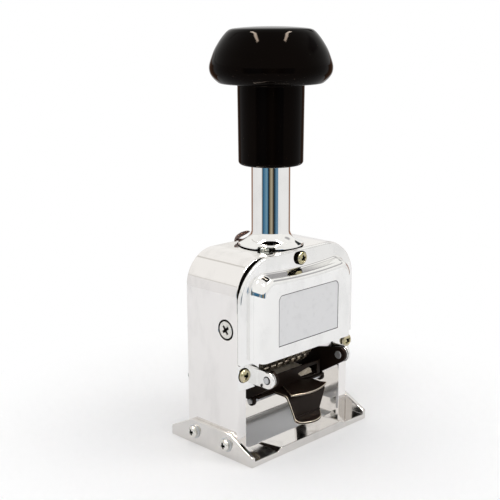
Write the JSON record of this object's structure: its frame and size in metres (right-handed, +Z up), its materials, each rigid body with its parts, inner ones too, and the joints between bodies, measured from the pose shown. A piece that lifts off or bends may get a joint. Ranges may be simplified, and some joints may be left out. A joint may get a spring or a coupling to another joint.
{
  "type": "numbering machine",
  "caption": "Hand numbering machine: a sprung push knob lowers a row of number wheels through the base while the ink pad holder swings clear.",
  "frame": {"origin": "centre of the footprint on the paper, under the axis of the push knob", "axes": "+X to the right seen from the front, -Y towards the user, +Z up along the plunger"},
  "size_m": [0.0758, 0.0509, 0.1706],
  "materials": {
    "chrome_sheet": "mirror",
    "chrome_neck": "mirror",
    "zinc_screw": "yellow zinc",
    "bright_steel": "ground",
    "blued_steel": "satin black",
    "wheel_metal": "oiled",
    "knob_plastic": "glossy",
    "buffer_rubber": "matt",
    "pad_felt": "felt"
  },
  "bodies": {
    "frame": {"base_plate": "chrome_sheet", "outer_frame": "chrome_sheet", "front_cover": "chrome_sheet", "back_cover": "chrome_sheet", "neck_tube": "chrome_neck", "neck_nut": "bright_steel", "cover_screws": "zinc_screw", "side_screws": "zinc_screw", "base_screws": "zinc_screw", "base_washers": "bright_steel", "ear_left": "chrome_sheet", "ear_right": "chrome_sheet", "ear_screws": "zinc_screw", "pivot_pins": "bright_steel", "pivot_washers": "bright_steel", "guide_rail_left": "bright_steel", "guide_rail_right": "bright_steel", "selector_pin": "zinc_screw", "return_spring": "bright_steel"},
    "plunger": {"knob": "knob_plastic", "plunger_rod": "bright_steel", "rod_nut": "bright_steel", "stop_washer": "buffer_rubber", "yoke": "bright_steel", "wheel_axle": "bright_steel", "axle_clips": "zinc_screw", "detent_comb": "wheel_metal"},
    "pawls": {"pawl_frame": "wheel_metal"},
    "holder": {"pad_holder": "blued_steel", "holder_pin": "bright_steel"},
    "tray": {"pad_tray": "blued_steel", "ink_pad": "pad_felt"},
    "lock": {"lock_ring": "bright_steel"},
    "selector": {"selector_lever": "chrome_sheet"},
    "wheel_1": {"number_wheel_1": "wheel_metal"},
    "wheel_2": {"number_wheel_2": "wheel_metal"},
    "wheel_3": {"number_wheel_3": "wheel_metal"},
    "wheel_4": {"number_wheel_4": "wheel_metal"},
    "wheel_5": {"number_wheel_5": "wheel_metal"},
    "wheel_6": {"number_wheel_6": "wheel_metal"},
    "wheel_7": {"number_wheel_7": "wheel_metal"}
  },
  "joints": [
    {"name": "plunger_slide", "type": "slide", "parent": "frame", "child": "plunger", "axis": [0, 0, -1], "range_m": [0, 0.027], "stiffness_N_per_m": 250, "springref_m": -0.02, "deforming": ["return_spring"]},
    {"name": "pawl_rock", "type": "hinge", "parent": "plunger", "child": "pawls", "pos_m": [0, 0, 0.0395], "axis": [-1, 0, 0], "range_deg": [0, 36]},
    {"name": "holder_swing", "type": "hinge", "parent": "frame", "child": "holder", "pos_m": [0, -0.021, 0.0328], "axis": [-1, 0, 0], "range_deg": [0, 86]},
    {"name": "tray_pull", "type": "slide", "parent": "holder", "child": "tray", "axis": [0, -1, 0], "range_m": [0, 0.018]},
    {"name": "lock_turn", "type": "hinge", "parent": "frame", "child": "lock", "pos_m": [0, 0, 0.0816], "axis": [0, 0, 1], "range_deg": [0, 10]},
    {"name": "selector_turn", "type": "hinge", "parent": "frame", "child": "selector", "pos_m": [0, 0.0154, 0.06], "axis": [0, 1, 0], "range_deg": [-40, 40]},
    {"name": "wheel_1_turn", "type": "hinge", "parent": "plunger", "child": "wheel_1", "pos_m": [0, 0, 0.0395], "axis": [1, 0, 0], "continuous": true},
    {"name": "wheel_2_turn", "type": "hinge", "parent": "plunger", "child": "wheel_2", "pos_m": [0, 0, 0.0395], "axis": [1, 0, 0], "continuous": true},
    {"name": "wheel_3_turn", "type": "hinge", "parent": "plunger", "child": "wheel_3", "pos_m": [0, 0, 0.0395], "axis": [1, 0, 0], "continuous": true},
    {"name": "wheel_4_turn", "type": "hinge", "parent": "plunger", "child": "wheel_4", "pos_m": [0, 0, 0.0395], "axis": [1, 0, 0], "continuous": true},
    {"name": "wheel_5_turn", "type": "hinge", "parent": "plunger", "child": "wheel_5", "pos_m": [0, 0, 0.0395], "axis": [1, 0, 0], "continuous": true},
    {"name": "wheel_6_turn", "type": "hinge", "parent": "plunger", "child": "wheel_6", "pos_m": [0, 0, 0.0395], "axis": [1, 0, 0], "continuous": true},
    {"name": "wheel_7_turn", "type": "hinge", "parent": "plunger", "child": "wheel_7", "pos_m": [0, 0, 0.0395], "axis": [1, 0, 0], "continuous": true}
  ],
  "couplings": [
    {"joint": "holder_swing", "follows": "plunger_slide", "rad_per_m": 55.582},
    {"joint": "pawl_rock", "follows": "plunger_slide", "rad_per_m": 23.261}
  ]
}
